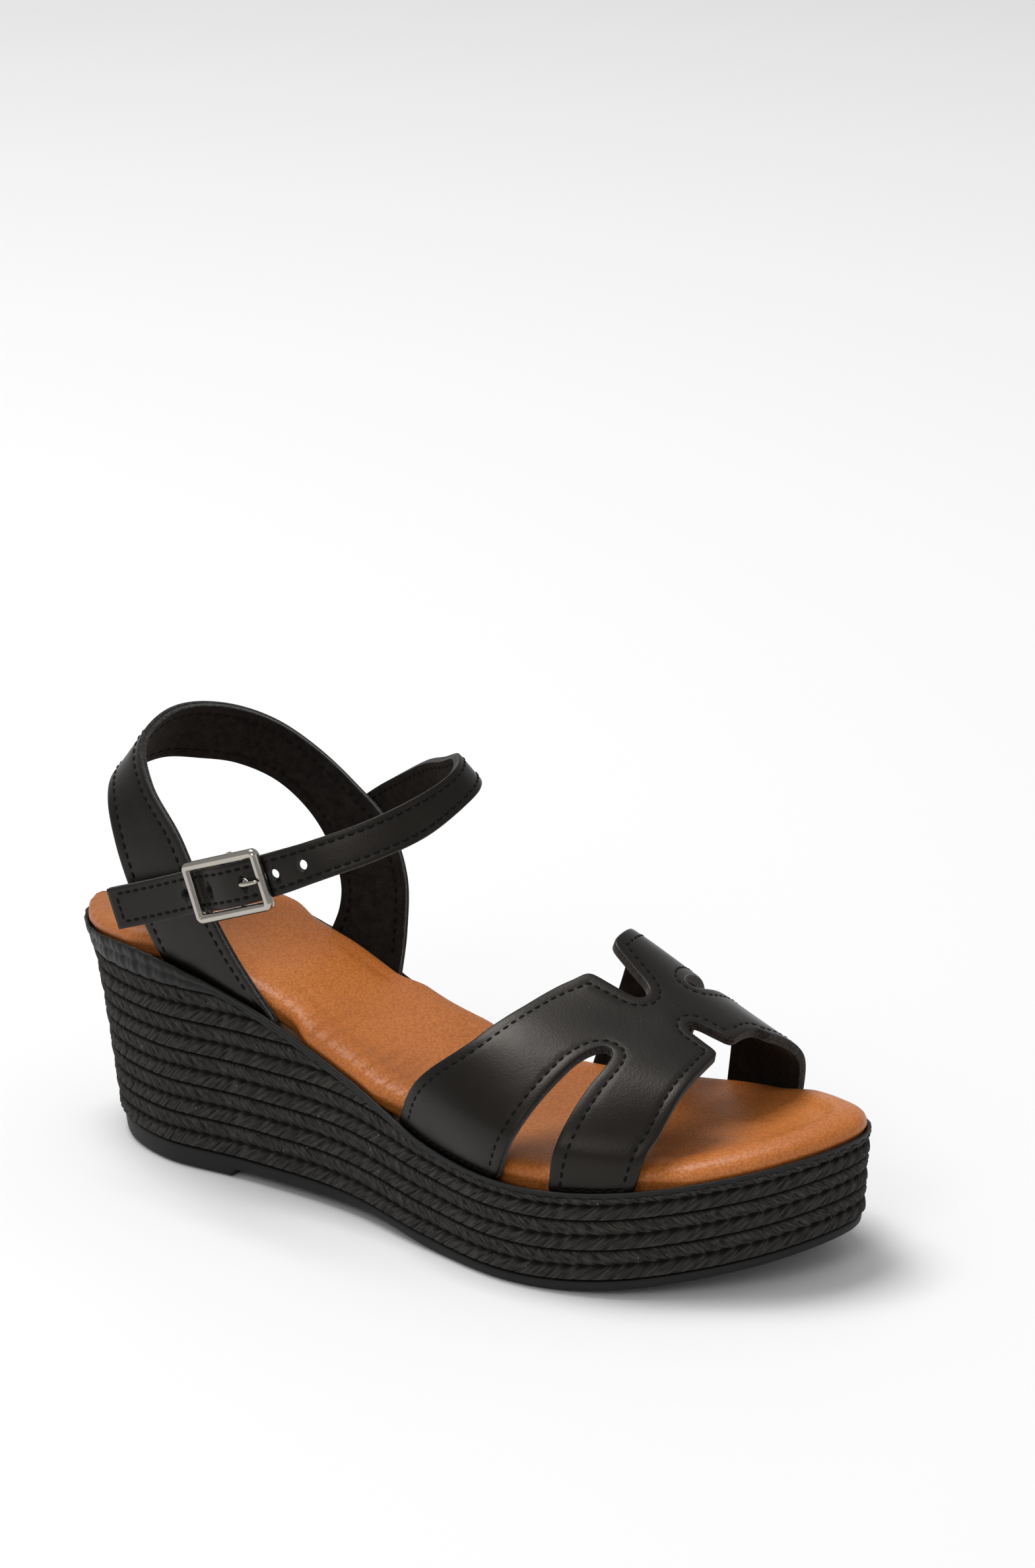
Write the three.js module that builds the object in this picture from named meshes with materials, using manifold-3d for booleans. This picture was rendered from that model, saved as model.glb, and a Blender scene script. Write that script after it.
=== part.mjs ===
// A right-foot wedge sandal: rope-wound platform wedge, padded leather footbed, four-legged vamp band,
// heel strap with a sewn-on ankle strap, and a centre-bar buckle on a leather tab.
// Millimetres. X runs from heel to toe, +Y is the inner (big-toe) side, +Z is up, and the floor is z = 0.
import * as THREE from "three";
import { mergeVertices } from "three/addons/utils/BufferGeometryUtils.js";
import Module from "manifold-3d";

// ---- driving dimensions ----
const LENGTH = 247;           // rim of the wedge, heel to toe
const CENTRE_Y = 4.77;        // brings the middle of the whole breadth to y = 0
const GAP = 0.3;              // air kept between pieces that touch
const OUTSOLE_HEEL = 6;       // top of the rubber outsole above the floor, heel patch included
const OUTSOLE_TOE = 3;
const PATCH_END = 69;         // front edge of the heel patch, from the back of the heel
const LIFT_FROM = 120;        // the waist's rubber comes back down to the floor from here
const LIFT_TO = 150;
const HEEL_STEP = 2;          // how far the heel patch stands below the waist
const TOE_SPRING = 10;        // lift of the outsole at the toe tip
const HEEL_TAPER = 14;        // how far the heel runs forward from rim to floor
const TOE_TAPER = 3;
const TAPER_CURVE = 0.7;        // the heel draws in fastest just under the rim
const BANDS = 5;              // courses of rope at the heel
const ROUND_BANDS = 3;        // courses that run right round
const BAND_HEEL = 9.2;        // height of one course
const BAND_TOE = 8.3;
const BAND_DEPTH = 3.2;
const FLARE = 1.2;            // the wall leans out by this much from rim to floor
const RIM_DEPTH = 1.2;        // binding round the top of the wall
const EDGE_HEEL = 2.6;        // least height of the binding, where a course dies out under it
const EDGE_TOE = 1.5;
const BOARD = 2;              // insole board
const FOAM = 5.6;
const COVER = 1.2;            // footbed leather
const FOOTBED_INSET = 5.7;    // footbed edge behind the rim
const CORE_TOP = 5.5;         // top of the wedge core below the rim
const LAYER = 1.1;            // one layer of strap leather
const VAMP_LAYER = 1.3;
const ROOT_DEPTH = 1.0;       // how far the vamp's feet go down behind the rim binding
const STRAP_HOLE = 3.2;       // diameter of the punched holes
const BUCKLE_WIDTH = 26.5;
const BUCKLE_HEIGHT = 17.5;
const BUCKLE_BAR = 2.6;
const BUCKLE_THICK = 2.2;
const BUCKLE_STANDOFF = 3.6;     // back of the buckle's frame outside its centre bar
const PIN_RADIUS = 0.9;       // centre bar of the buckle
const PRONG_RADIUS = 0.65;
const TAB_THICK = 1;
const TAB_WIDTH = 10.5;
const STRAP_SLOPE = THREE.MathUtils.degToRad(20);

const v3 = (x, y, z) => new THREE.Vector3(x, y, z);
const { lerp, smoothstep, clamp } = THREE.MathUtils;
const spline = (points) => new THREE.CatmullRomCurve3(points.map((p) => v3(...p)), false, "centripetal");

// ---- materials ----
const colour = (hex, roughness, metalness = 0) =>
  new THREE.MeshStandardMaterial({ color: hex, roughness, metalness });
const LEATHER = () => colour(0x141416, 0.45);
const SUEDE = () => colour(0x2a2725, 0.95);
const ROPE = () => colour(0x1c1c1d, 0.85);
const RUBBER = () => colour(0x161617, 0.7);
const TAN = () => colour(0xb8641f, 0.5);
const NICKEL = () => colour(0xc9c5bd, 0.2, 1);

// ---- outline and heights of the sole ----
const OUTER_SIDE = spline([[0, 0, 0], [5, -10, 0], [17, -21.5, 0], [42, -30, 0], [76, -31, 0], [111, -35, 0],
  [143, -45, 0], [173, -52, 0], [197, -48, 0], [220, -35, 0], [236, -21, 0], [245, -5, 0], [LENGTH, 8, 0]]);
const INNER_SIDE = spline([[0, 0, 0], [5, 11, 0], [17, 20, 0], [39, 27, 0], [74, 27, 0], [111, 23, 0],
  [143, 30, 0], [173, 39, 0], [196, 42.5, 0], [217, 37, 0], [233, 27, 0], [243, 17.5, 0], [LENGTH, 8, 0]]);
const RIM_LINE = spline([[0, 58, 0], [40, 60, 0], [74, 52, 0], [111, 39, 0], [143, 29.5, 0],
  [173, 27.5, 0], [210, 30, 0], [LENGTH, 37.5, 0]]);
const SIDE_STEPS = 24;
const [SPINE_FROM, SPINE_TO] = [16, LENGTH - 26];   // the line down the middle of the foot

// y as a function of x along a line that runs one way in x.
function graph(line) {
  const samples = line.getPoints(96);
  return (x) => {
    const after = samples.findIndex((p) => p.x >= x);
    if (after <= 0) return after === 0 ? samples[0].y : samples[samples.length - 1].y;
    const [a, b] = [samples[after - 1], samples[after]];
    return lerp(a.y, b.y, (x - a.x) / (b.x - a.x));
  };
}
const rimZ = graph(RIM_LINE);
const outerY = graph(OUTER_SIDE);
const innerY = graph(INNER_SIDE);
const springZ = (x) => TOE_SPRING * Math.pow(clamp((x - 0.72 * LENGTH) / (0.28 * LENGTH), 0, 1), 1.8);
const toFore = (x) => smoothstep(x, 95, 165);     // 0 at the heel and waist, 1 at the forefoot
const soleTop = (x) => lerp(OUTSOLE_HEEL, OUTSOLE_TOE, toFore(x)) + springZ(x);
const bandFloor = (k, x) => soleTop(x) + GAP + k * lerp(BAND_HEEL, BAND_TOE, toFore(x));
const bindingFloor = (x) => Math.min(rimZ(x) - lerp(EDGE_HEEL, EDGE_TOE, toFore(x)), bandFloor(BANDS, x));
const bandRoof = (k, x) => Math.min(bandFloor(k + 1, x), bindingFloor(x)) - GAP;

// Rim points, outer side heel to toe and back along the inner side, each with its partner's midpoint.
const OUTLINE = [];
for (let i = 0; i < 2 * SIDE_STEPS; i++) {
  const outward = i <= SIDE_STEPS;
  const t = (outward ? i : 2 * SIDE_STEPS - i) / SIDE_STEPS;
  const [outer, inner] = [OUTER_SIDE.getPoint(t), INNER_SIDE.getPoint(t)];
  OUTLINE.push({ rim: outward ? outer : inner, middle: (outer.x + inner.x) / 2 });
}
OUTLINE.forEach((station, i) => {
  const before = OUTLINE[(i + OUTLINE.length - 1) % OUTLINE.length].rim;
  const after = OUTLINE[(i + 1) % OUTLINE.length].rim;
  const along = after.clone().sub(before).normalize();
  station.inward = v3(-along.y, along.x, 0);
  const x = clamp(station.middle, SPINE_FROM, SPINE_TO);
  station.spine = v3(x, (outerY(x) + innerY(x)) / 2, 0);
});

// A point of the wall: `depth` mm inside its face, drawn in at heel and toe towards the floor.
function wallPoint(i, z, depth) {
  const { rim, inward } = OUTLINE[i % OUTLINE.length];
  const drop = 1 - clamp(z / rimZ(rim.x), 0, 1);
  const inset = depth - FLARE * drop;
  const taper = HEEL_TAPER * (1 - smoothstep(rim.x, 0, 70)) - TOE_TAPER * smoothstep(rim.x, 200, LENGTH);
  return v3(rim.x + taper * Math.pow(drop, TAPER_CURVE) + inward.x * inset, rim.y + inward.y * inset, z);
}

// A closed slab of the sole: a lathe's net laid over the outline. Each ring is { inset, z } or, where
// `inset` is null, the line down the middle of the foot. z is a function of x.
function slab(rings) {
  const profile = rings.map((ring, k) => new THREE.Vector2(ring.inset === null ? 0 : 1, k));
  const net = new THREE.LatheGeometry(profile, OUTLINE.length);
  for (let i = 0; i <= OUTLINE.length; i++) {
    rings.forEach((ring, k) => {
      const { rim, spine } = OUTLINE[i % OUTLINE.length];
      const point = ring.inset === null ? spine.clone() : wallPoint(i, ring.z(rim.x), ring.inset);
      point.z = ring.z(point.x);
      net.attributes.position.setXYZ(i * rings.length + k, point.x, point.y, point.z);
    });
  }
  return net;
}
const floorSlab = (bottom, bottomInset, topZ, inset) => slab([
  { inset: null, z: bottom }, { inset: bottomInset, z: bottom }, { inset, z: topZ }, { inset: null, z: topZ }]);

// A box whose length, width and thickness run 0..1, laid onto a surface by place(u, v, w).
function laidBox(nu, nv, nw, place) {
  const box = new THREE.BoxGeometry(1, 1, 1, nu, nv, nw);
  const corner = v3(0, 0, 0);
  for (let i = 0; i < box.attributes.position.count; i++) {
    corner.fromBufferAttribute(box.attributes.position, i).addScalar(0.5);
    const p = place(corner.x, corner.y, corner.z);
    box.attributes.position.setXYZ(i, p.x, p.y, p.z);
  }
  return box;
}

// ---- solids that are cut or joined ----
const wasm = await Module();
wasm.setup();

function toManifold(geometry) {
  const bare = geometry.clone();
  bare.deleteAttribute("normal");
  bare.deleteAttribute("uv");
  const merged = mergeVertices(bare, 1e-4);
  return new wasm.Manifold(new wasm.Mesh({
    numProp: 3,
    vertProperties: new Float32Array(merged.attributes.position.array),
    triVerts: new Uint32Array(merged.index.array),
  }));
}

function toGeometry(manifold) {
  const mesh = manifold.getMesh();
  const geometry = new THREE.BufferGeometry();
  geometry.setAttribute("position", new THREE.BufferAttribute(mesh.vertProperties, 3));
  geometry.setIndex(new THREE.BufferAttribute(mesh.triVerts, 1));
  return geometry;
}

const sandal = new THREE.Group();
sandal.position.set(-LENGTH / 2, CENTRE_Y, 0);

function add(name, geometry, material, parent = sandal) {
  const mesh = new THREE.Mesh(geometry, material);
  mesh.name = name;
  parent.add(mesh);
}

// ---- sole ----
function outsole() {
  const lifted = (x) => (x > PATCH_END ? HEEL_STEP * (1 - smoothstep(x, LIFT_FROM, LIFT_TO)) : 0);
  const underside = (x) => springZ(x) + lifted(x);
  add("outsole", floorSlab(underside, 0.4, soleTop, 0), RUBBER());
}

function wedgeCore() {
  const inset = BAND_DEPTH + 2 * GAP;
  const bottom = (x) => bandFloor(0, x);
  const top = (x) => rimZ(x) - CORE_TOP;
  const side = Array.from({ length: BANDS + 1 }, (_, k) => ({
    inset, z: (x) => lerp(bottom(x), top(x), k / BANDS) }));
  add("wedge_core", slab([{ inset: null, z: bottom }, ...side, { inset: null, z: top }]), colour(0x8a6a48, 0.9));
}

// The lower courses run right round; the upper ones die out against the rim in the waist.
function ropeBand(k) {
  const section = (i, a, b) => {
    const { rim } = OUTLINE[i % OUTLINE.length];
    const z = b ? bandRoof(k, rim.x) : bandFloor(k, rim.x);
    return wallPoint(i, z, a * BAND_DEPTH);
  };
  const name = `rope_band_${k + 1}`;
  if (k < ROUND_BANDS) {
    const corners = [[0, 0], [0, 1], [1, 1], [1, 0], [0, 0]];
    const ring = new THREE.LatheGeometry(corners.map(([a, b]) => new THREE.Vector2(2 - a, b)), OUTLINE.length);
    for (let i = 0; i <= OUTLINE.length; i++) {
      corners.forEach(([a, b], c) => {
        const p = section(i, a, b);
        ring.attributes.position.setXYZ(i * corners.length + c, p.x, p.y, p.z);
      });
    }
    add(name, ring, ROPE());
    return;
  }
  const tall = (i) => bandRoof(k, OUTLINE[i].rim.x) - bandFloor(k, OUTLINE[i].rim.x) > 1.2;
  let reach = 0;
  while (tall(reach + 1) && tall(OUTLINE.length - reach - 1)) reach += 1;
  const steps = 2 * reach;
  add(name, laidBox(steps, 1, 1, (u, v, w) => {
    const i = (Math.round(u * steps) - reach + OUTLINE.length) % OUTLINE.length;
    return section(i, 1 - w, v);
  }), ROPE());
}

function rimBinding() {
  const corners = [[0, 0], [0, 1], [1, 1], [1, 0], [0, 0]];
  const ring = new THREE.LatheGeometry(corners.map(([a, b]) => new THREE.Vector2(2 - a, b)), OUTLINE.length);
  for (let i = 0; i <= OUTLINE.length; i++) {
    const { rim } = OUTLINE[i % OUTLINE.length];
    corners.forEach(([a, b], c) => {
      const p = wallPoint(i, b ? rimZ(rim.x) : bindingFloor(rim.x), a * RIM_DEPTH);
      ring.attributes.position.setXYZ(i * corners.length + c, p.x, p.y, p.z);
    });
  }
  add("rim_binding", ring, RUBBER());
}

// ---- footbed ----
function footbed() {
  const boardTop = -CORE_TOP + GAP + BOARD;
  const foamTop = boardTop + GAP + FOAM;
  const inside = FOOTBED_INSET + COVER + GAP;
  const level = (dz) => (x) => rimZ(x) + dz;
  add("insole_board", floorSlab(level(-CORE_TOP + GAP), inside, level(boardTop), inside), colour(0x6b4a30, 0.9));
  add("footbed_foam", slab([
    { inset: null, z: level(boardTop + GAP) }, { inset: inside, z: level(boardTop + GAP) },
    { inset: inside, z: level(foamTop - 1.6) }, { inset: inside + 3, z: level(foamTop) },
    { inset: null, z: level(foamTop) }]), colour(0xd8c7a0, 0.9));
  add("footbed_cover", slab([
    { inset: null, z: level(foamTop + GAP) }, { inset: inside + 3, z: level(foamTop + GAP) },
    { inset: inside - GAP, z: level(foamTop - 1.4) }, { inset: inside - GAP, z: level(-CORE_TOP + GAP) },
    { inset: FOOTBED_INSET, z: level(-CORE_TOP + GAP) }, { inset: FOOTBED_INSET, z: level(foamTop - 1) },
    { inset: inside + 3, z: level(foamTop + GAP + COVER) }, { inset: null, z: level(foamTop + GAP + COVER) }]),
  TAN());
}

// ---- straps ----
// A leather ribbon between two edge lines; w is the distance outwards from its middle surface.
function ribbon(first, second) {
  const point = (u, v) => first.getPoint(u).lerp(second.getPoint(u), v);
  return (u, v, w) => {
    const step = 1e-3;
    const [u0, u1] = [Math.max(0, u - step), Math.min(1, u + step)];
    const along = point(u1, v).sub(point(u0, v));
    const across = second.getPoint(u).sub(first.getPoint(u));
    return point(u, v).addScaledVector(along.cross(across).normalize(), w);
  };
}
function layers(place, nu, nv, thickness, cut = (solid) => solid) {
  const layer = (low, high) => toGeometry(cut(toManifold(
    laidBox(nu, nv, 1, (u, v, w) => place(u, v, lerp(low, high, w))))));
  return { outer: layer(GAP / 2, GAP / 2 + thickness), lining: layer(-GAP / 2 - thickness, -GAP / 2) };
}

// Heel strap, from its outer-side root round the back of the heel to its inner-side root.
function heelStrap() {
  const upper = spline([[83, -28, 47.5], [71, -29.7, 64], [62, -31, 80], [53, -30, 96], [41.5, -26.5, 107.5],
    [33, -18, 116], [31, -5, 120.5], [33, 6, 121], [39.5, 17, 118.5], [48, 25, 113.5], [58, 30.5, 105.5],
    [69, 32, 97], [80, 32, 87.5], [87.5, 29.5, 74], [90, 25.5, 59], [90, 22, 44.7]]);
  const lower = spline([[46, -27, 57.8], [42, -28.7, 66], [37, -30, 78], [32, -29.5, 90], [26.5, -25, 99.5],
    [21, -15, 103.5], [19.5, -4, 104], [22, 6, 104.5], [28, 14, 103], [36, 21, 101], [46, 26.5, 96],
    [56, 28.5, 88], [63, 28.5, 79], [67.5, 27.5, 69], [68, 26, 62], [65, 23.9, 52.5]]);
  const { outer, lining } = layers(ribbon(upper, lower), 36, 3, LAYER);
  add("heel_strap_outer", outer, LEATHER());
  add("heel_strap_lining", lining, SUEDE());
}

// Ankle strap, from its free tip through the buckle and round the front to its sewn root.
const STRAP_HOLES = [0.123, 0.169, 0.225, 0.268, 0.308];
function ankleStrap() {
  const lower = spline([[37, -35.5, 68], [51, -35.3, 73], [64, -35.8, 78], [78, -38.9, 83], [91, -35.9, 88],
    [104, -32, 94], [115, -24.5, 99], [123.5, -15, 104], [127, -5, 108.5], [127, 5, 111.5], [121.5, 14, 111.5],
    [112, 21, 107.5], [103, 27, 101], [91, 32, 93.5], [80, 35, 86], [70, 34.8, 79]]);
  const upper = spline([[33, -35.5, 79], [47, -35.3, 84], [60, -35.8, 89], [74, -38.9, 94], [87, -35.9, 99],
    [98.5, -31, 103.5], [109, -24, 108], [117, -15, 112.5], [120.5, -5, 115.5], [121, 3, 118], [116, 11.5, 118.5],
    [107.5, 18, 114.5], [98, 24.5, 110.5], [86, 30.5, 103.5], [75, 35, 96.5], [65, 35.5, 89]]);
  const place = ribbon(lower, upper);
  const punch = (solid) => STRAP_HOLES.reduce((strap, t) => {
    const hole = new THREE.CylinderGeometry(STRAP_HOLE / 2, STRAP_HOLE / 2, 8, 12);
    const centre = place(t, 0.5, 0);
    const outwards = place(t, 0.5, 1).sub(centre).normalize();
    hole.applyQuaternion(new THREE.Quaternion().setFromUnitVectors(v3(0, 1, 0), outwards));
    hole.translate(centre.x, centre.y, centre.z);
    return strap.subtract(toManifold(hole));
  }, solid);
  const { outer, lining } = layers(place, 48, 2, LAYER, punch);
  add("ankle_strap_outer", outer, LEATHER());
  add("ankle_strap_lining", lining, SUEDE());
}

// ---- vamp ----
// Cross-sections of the foot under the band, outer rim to inner rim, at four stations along the foot.
const VAMP_STATIONS = [125, 160, 185, 222];
const VAMP_SECTIONS = [
  [[-39, 47], [-32, 62], [-12, 75], [14, 86], [28, 68]],
  [[-48, 43], [-37, 58], [-14, 68], [16, 78], [36, 60]],
  [[-48, 40], [-33, 54], [-12, 61.5], [15, 66], [38, 51]],
  [[-31, 38], [-23, 47], [-7, 52], [10, 52.5], [28, 44]],
].map((section, s) => section.map(([y, z]) => v3(VAMP_STATIONS[s], y, z)));
const VAMP_LINES = VAMP_SECTIONS[0].map((_, k) => new THREE.CatmullRomCurve3(
  VAMP_SECTIONS.map((section) => section[k]), false, "centripetal"));
const vampBack = graph(spline([[0, 130, 0], [0.167, 139, 0], [0.333, 154, 0], [0.5, 163, 0], [0.58, 168, 0],
  [0.65, 167, 0], [0.75, 162, 0], [0.833, 157, 0], [1, 149, 0]]));
const vampFront = graph(spline([[0, 205, 0], [0.167, 207, 0], [0.333, 209, 0], [0.5, 209, 0], [0.6, 209, 0],
  [0.7, 212, 0], [0.833, 214, 0], [1, 211, 0]]));
const MM_ACROSS = 1 / 165;    // one millimetre of the band's top, as a share of its run across the foot

// u runs 0..1 across the foot, x along it; w is the distance outwards.
const stationShare = graph(spline(VAMP_STATIONS.map((x, k) => [x, k / (VAMP_STATIONS.length - 1), 0])));
// Where a foot of the band goes down behind the binding; `side` is -1 on the outer side, 1 on the inner.
function vampRoot(side, x) {
  const edge = side < 0 ? outerY : innerY;
  const slope = (edge(x + 2) - edge(x - 2)) / 4;
  const depth = RIM_DEPTH + 2.5 * GAP + VAMP_LAYER + GAP / 2;
  return v3(x, edge(x) - side * depth * Math.hypot(1, slope), rimZ(x) - ROOT_DEPTH);
}
function vampSurface(u, x) {
  const middle = VAMP_LINES.map((line) => line.getPoint(stationShare(x)));
  const arch = new THREE.CatmullRomCurve3([vampRoot(-1, x), ...middle, vampRoot(1, x)], false, "centripetal");
  const end = clamp(u, 0, 1);
  return arch.getPoint(end).addScaledVector(arch.getTangent(end), (u - end) / MM_ACROSS);
}
function vampPoint(u, x, w) {
  const [du, dx] = [0.01, 1];
  const across = vampSurface(u + du, x).sub(vampSurface(u - du, x));
  const along = vampSurface(u, x + dx).sub(vampSurface(u, x - dx));
  return vampSurface(u, x).addScaledVector(along.cross(across).normalize(), w);
}

// A cut-out of the band: widths in mm at its mouth and at its round end, both given as [u, x].
function cutOut(mouth, end, mouthWidth, endWidth, alongFoot) {
  const roundFrom = 0.8;
  const deep = 6;
  const inwards = alongFoot ? mouth[1] < end[1] : mouth[0] > end[0];
  return toManifold(laidBox(12, 1, 1, (t, side, w) => {
    const s = inwards ? t : 1 - t;
    const bow = s < roundFrom ? 1 : Math.sqrt(1 - Math.pow(0.98 * (s - roundFrom) / (1 - roundFrom), 2));
    const offset = (side - 0.5) * lerp(mouthWidth, endWidth, Math.min(1, s / roundFrom)) * bow;
    const [u, x] = [lerp(mouth[0], end[0], s), lerp(mouth[1], end[1], s)];
    return alongFoot ? vampPoint(u + offset * MM_ACROSS, x, lerp(-deep, deep, w))
      : vampPoint(u, x + offset, lerp(-deep, deep, w));
  }));
}

function vamp() {
  const slots = [
    cutOut([-0.05, 174.5], [0.42, 186], 17, 8, false),
    cutOut([1.05, 178], [0.66, 188], 17, 7, false),
    cutOut([0.6, 158], [0.575, 184], 14, 7, true),
    cutOut([0.55, 220], [0.565, 196.5], 15, 6, true),
  ];
  const place = (u, v, w) => vampPoint(u, lerp(vampFront(u), vampBack(u), v), w);
  const cut = (solid) => slots.reduce((rest, slot) => rest.subtract(slot), solid);
  const { outer, lining } = layers(place, 24, 9, VAMP_LAYER, cut);
  add("vamp_outer", outer, LEATHER());
  add("vamp_lining", lining, SUEDE());
}

// ---- buckle ----
// The buckle's own frame: X along the strap, Y up the centre bar, Z outwards, the origin on the bar.
const BUCKLE_PLACE = [75.7, -34.9, 88.4];
const buckleSlope = new THREE.Group();
buckleSlope.position.set(...BUCKLE_PLACE);
buckleSlope.rotation.y = -STRAP_SLOPE;
sandal.add(buckleSlope);
const buckleFrame = new THREE.Group();
buckleFrame.rotation.x = Math.PI / 2;
buckleSlope.add(buckleFrame);

function box(x0, x1, y0, y1, z0, z1) {
  return new THREE.BoxGeometry(x1 - x0, y1 - y0, z1 - z0)
    .translate((x0 + x1) / 2, (y0 + y1) / 2, (z0 + z1) / 2);
}

function buckle() {
  const [halfW, halfH] = [BUCKLE_WIDTH / 2, BUCKLE_HEIGHT / 2];
  const rectangle = (w, h) => [[-w, -h], [w, -h], [w, h], [-w, h]].map(([x, y]) => new THREE.Vector2(x, y));
  const outline = new THREE.Shape(rectangle(halfW, halfH));
  outline.holes.push(new THREE.Path(rectangle(halfW - BUCKLE_BAR, halfH - BUCKLE_BAR)));
  const bevel = 0.5;
  const ring = new THREE.ExtrudeGeometry(outline, { depth: BUCKLE_THICK - 2 * bevel, bevelThickness: bevel,
    bevelSize: bevel, bevelOffset: -bevel, bevelSegments: 1 }).translate(0, 0, BUCKLE_STANDOFF + bevel);
  let solid = toManifold(ring);
  for (const side of [-1, 1]) {
    const lug = side > 0 ? box(-1.3, 1.3, 6.4, halfH - 0.4, -1, BUCKLE_STANDOFF + 1)
      : box(-1.3, 1.3, 0.4 - halfH, -6.4, -1, BUCKLE_STANDOFF + 1);
    solid = solid.add(toManifold(lug));
  }
  solid = solid.add(toManifold(new THREE.CylinderGeometry(PIN_RADIUS, PIN_RADIUS, 14, 12)));
  add("buckle_frame", toGeometry(solid), NICKEL(), buckleFrame);
}

function prong() {
  const curl = new THREE.TorusGeometry(1.75, PRONG_RADIUS, 8, 18).rotateX(Math.PI / 2);
  const path = spline([[1.2, 0, 1.3], [3.2, 0, 1.3], [4.4, 0, 2.2], [4.8, 0, 4.2], [6, 0, 6.1], [9, 0, 7],
    [12.3, 0, 6.8]]);
  const wire = new THREE.Shape().absarc(0, 0, PRONG_RADIUS, 0, 2 * Math.PI);
  const rod = new THREE.ExtrudeGeometry(wire, { steps: 18, curveSegments: 8, extrudePath: path });
  add("buckle_prong", toGeometry(toManifold(curl).add(toManifold(rod))), NICKEL(), buckleFrame);
}

// Leather tab: sewn flat to the heel strap, it loops round the centre bar and is slit for the prong.
function buckleTab() {
  const path = [[-34, -1.7], [-20, -1.7], [-9, -1.7], [-3, -1.75], [0, -1.6], [1.2, -1.1], [1.6, 0], [1.2, 1.1],
    [0, 1.6], [-2.5, 1.4], [-5, 0.2], [-8, -0.35]];
  const edge = (y) => spline(path.map(([x, z]) => [x, y, z]));
  const place = ribbon(edge(TAB_WIDTH / 2), edge(-TAB_WIDTH / 2));
  const strip = toManifold(laidBox(40, 1, 1, (u, v, w) => place(u, v, lerp(-0.5, 0.5, w) * TAB_THICK)));
  const slit = toManifold(box(-4.5, 4, -1.1, 1.1, -3, 3));
  add("buckle_tab", toGeometry(strip.subtract(slit)), LEATHER(), buckleFrame);
}

outsole();
wedgeCore();
for (let k = 0; k < BANDS; k++) ropeBand(k);
rimBinding();
footbed();
vamp();
heelStrap();
buckleTab();
buckle();
prong();
ankleStrap();

export default sandal;
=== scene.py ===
"""A right-foot wedge sandal, put together from the sole up."""
import math

import bmesh
import bpy
import numpy as np
from mathutils import Matrix, Vector, geometry


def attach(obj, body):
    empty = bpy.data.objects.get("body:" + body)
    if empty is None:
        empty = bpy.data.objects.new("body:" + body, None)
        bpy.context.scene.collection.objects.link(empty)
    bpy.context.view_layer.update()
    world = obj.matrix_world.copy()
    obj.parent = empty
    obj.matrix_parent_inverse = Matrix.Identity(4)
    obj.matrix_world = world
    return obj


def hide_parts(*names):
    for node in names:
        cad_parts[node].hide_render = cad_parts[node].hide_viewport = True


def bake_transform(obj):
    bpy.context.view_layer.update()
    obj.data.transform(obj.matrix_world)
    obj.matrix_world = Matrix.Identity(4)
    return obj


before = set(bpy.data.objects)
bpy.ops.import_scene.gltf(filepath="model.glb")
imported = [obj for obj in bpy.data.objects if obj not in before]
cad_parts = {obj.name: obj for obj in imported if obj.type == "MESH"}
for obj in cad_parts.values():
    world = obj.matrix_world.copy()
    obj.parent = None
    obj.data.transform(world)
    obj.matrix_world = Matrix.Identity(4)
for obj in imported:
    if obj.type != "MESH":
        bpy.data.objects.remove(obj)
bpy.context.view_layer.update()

# ---- Outsole -----------------------------------------------------------------------------------------
# A moulded black rubber sheet glued under the wedge, with a thicker patch under the heel and a lift at
# the toe. The sole's outline, the maker's way to lay a net of faces and the rubber are all set out here.
RIM_LENGTH = 247.0
BREADTH_SHIFT = 4.77
TO_METRES = 0.001
SOLE_AT_HEEL, SOLE_THINNING = 6, 3
PATCH_END, PATCH_STEP = 69, 2
WAIST, BALL = 95, 165


def in_frame(points):
    """Millimetres from the back of the heel to metres in the model's frame."""
    return (np.asarray(points, float) + (-RIM_LENGTH / 2, BREADTH_SHIFT, 0)) * TO_METRES


def smooth(x, low, high):
    t = np.clip((np.asarray(x, float) - low) / (high - low), 0, 1)
    return t * t * (3 - 2 * t)


def line_through(points, closed=False):
    """A smooth line through the points, as a function of 0..1."""
    p = np.array(points, float)
    ends = (p[-1], p[0], p[1]) if closed else (2 * p[0] - p[1], 2 * p[-1] - p[-2])
    p = np.vstack([ends[0], p, *ends[1:]])

    def at(t):
        t = np.clip(np.asarray(t, float), 0, 1) * (len(p) - 3)
        k = np.minimum(t.astype(int), len(p) - 4)
        w = (t - k)[..., None]
        p0, p1, p2, p3 = (p[k + n] for n in range(4))
        d0, d1, d2 = (np.maximum(np.linalg.norm(b - a, axis=-1, keepdims=True), 1e-6) ** 0.5
                      for a, b in ((p0, p1), (p1, p2), (p2, p3)))
        m1 = d1 * ((p1 - p0) / d0 - (p2 - p0) / (d0 + d1) + (p2 - p1) / d1)
        m2 = d1 * ((p2 - p1) / d1 - (p3 - p1) / (d1 + d2) + (p3 - p2) / d2)
        return p1 + w * m1 + w ** 2 * (3 * (p2 - p1) - 2 * m1 - m2) + w ** 3 * (2 * (p1 - p2) + m1 + m2)

    return at


def graph(points, columns=(0, 1)):
    """One coordinate of a smooth line as a function of another."""
    samples = line_through([(*p, 0) if len(p) == 2 else p for p in points])(np.linspace(0, 1, 400))
    return lambda x: np.interp(x, samples[:, columns[0]], samples[:, columns[1]])


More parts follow.
